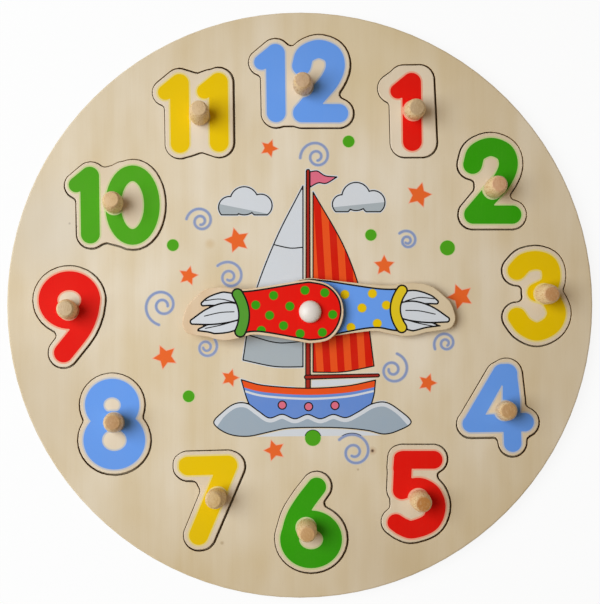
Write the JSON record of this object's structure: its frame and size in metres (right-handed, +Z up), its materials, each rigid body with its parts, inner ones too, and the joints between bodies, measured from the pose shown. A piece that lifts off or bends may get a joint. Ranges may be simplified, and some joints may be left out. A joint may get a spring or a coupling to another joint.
{
  "type": "teaching clock",
  "caption": "Round wooden puzzle clock board with numeral pieces that lift out by pegs, and hour and minute hands that turn on a pin.",
  "frame": {"origin": "centre of the board's back face, which lies on the ground", "axes": "+Z up out of the clock face, +Y towards twelve o'clock, +X towards three o'clock"},
  "size_m": [0.3, 0.3, 0.0228],
  "materials": {
    "birch_plywood": "satin clear-coated birch plywood",
    "beech": "turned and sanded beech",
    "blue_numeral": "screen-printed blue on birch plywood",
    "yellow_numeral": "screen-printed yellow on birch plywood",
    "green_numeral": "screen-printed green on birch plywood",
    "red_numeral": "screen-printed red on birch plywood",
    "red_hand": "screen-printed red on birch plywood",
    "blue_hand": "screen-printed blue on birch plywood",
    "nylon": "natural nylon",
    "white_plastic": "moulded white plastic"
  },
  "bodies": {
    "board": {"back_panel": "birch_plywood", "face_panel": "birch_plywood", "spacer_washer": "nylon", "hand_washer": "nylon", "pivot_pin": "white_plastic", "pivot_socket": "white_plastic"},
    "minute_hand": {"minute_hand": "blue_hand"},
    "hour_hand": {"hour_hand": "red_hand"},
    "numeral_1_piece": {"numeral_1": "red_numeral", "peg_1": "beech"},
    "numeral_2_piece": {"numeral_2": "green_numeral", "peg_2": "beech"},
    "numeral_3_piece": {"numeral_3": "yellow_numeral", "peg_3": "beech"},
    "numeral_4_piece": {"numeral_4": "blue_numeral", "peg_4": "beech"},
    "numeral_5_piece": {"numeral_5": "red_numeral", "peg_5": "beech"},
    "numeral_6_piece": {"numeral_6": "green_numeral", "peg_6": "beech"},
    "numeral_7_piece": {"numeral_7": "yellow_numeral", "peg_7": "beech"},
    "numeral_8_piece": {"numeral_8": "blue_numeral", "peg_8": "beech"},
    "numeral_9_piece": {"numeral_9": "red_numeral", "peg_9": "beech"},
    "numeral_10_piece": {"numeral_10": "green_numeral", "peg_10": "beech"},
    "numeral_11_piece": {"numeral_11": "yellow_numeral", "peg_11": "beech"},
    "numeral_12_piece": {"numeral_12": "blue_numeral", "peg_12": "beech"}
  },
  "joints": [
    {"name": "minute_hand_turn", "type": "hinge", "parent": "board", "child": "minute_hand", "pos_m": [0.0048, -0.0037, 0.0109], "axis": [0, 0, 1], "continuous": true},
    {"name": "hour_hand_turn", "type": "hinge", "parent": "board", "child": "hour_hand", "pos_m": [0.0048, -0.0037, 0.0153], "axis": [0, 0, 1], "continuous": true},
    {"name": "numeral_1_lift", "type": "slide", "parent": "board", "child": "numeral_1_piece", "axis": [0, 0, 1], "range_m": [0, 0.03]},
    {"name": "numeral_2_lift", "type": "slide", "parent": "board", "child": "numeral_2_piece", "axis": [0, 0, 1], "range_m": [0, 0.03]},
    {"name": "numeral_3_lift", "type": "slide", "parent": "board", "child": "numeral_3_piece", "axis": [0, 0, 1], "range_m": [0, 0.03]},
    {"name": "numeral_4_lift", "type": "slide", "parent": "board", "child": "numeral_4_piece", "axis": [0, 0, 1], "range_m": [0, 0.03]},
    {"name": "numeral_5_lift", "type": "slide", "parent": "board", "child": "numeral_5_piece", "axis": [0, 0, 1], "range_m": [0, 0.03]},
    {"name": "numeral_6_lift", "type": "slide", "parent": "board", "child": "numeral_6_piece", "axis": [0, 0, 1], "range_m": [0, 0.03]},
    {"name": "numeral_7_lift", "type": "slide", "parent": "board", "child": "numeral_7_piece", "axis": [0, 0, 1], "range_m": [0, 0.03]},
    {"name": "numeral_8_lift", "type": "slide", "parent": "board", "child": "numeral_8_piece", "axis": [0, 0, 1], "range_m": [0, 0.03]},
    {"name": "numeral_9_lift", "type": "slide", "parent": "board", "child": "numeral_9_piece", "axis": [0, 0, 1], "range_m": [0, 0.03]},
    {"name": "numeral_10_lift", "type": "slide", "parent": "board", "child": "numeral_10_piece", "axis": [0, 0, 1], "range_m": [0, 0.03]},
    {"name": "numeral_11_lift", "type": "slide", "parent": "board", "child": "numeral_11_piece", "axis": [0, 0, 1], "range_m": [0, 0.03]},
    {"name": "numeral_12_lift", "type": "slide", "parent": "board", "child": "numeral_12_piece", "axis": [0, 0, 1], "range_m": [0, 0.03]}
  ]
}
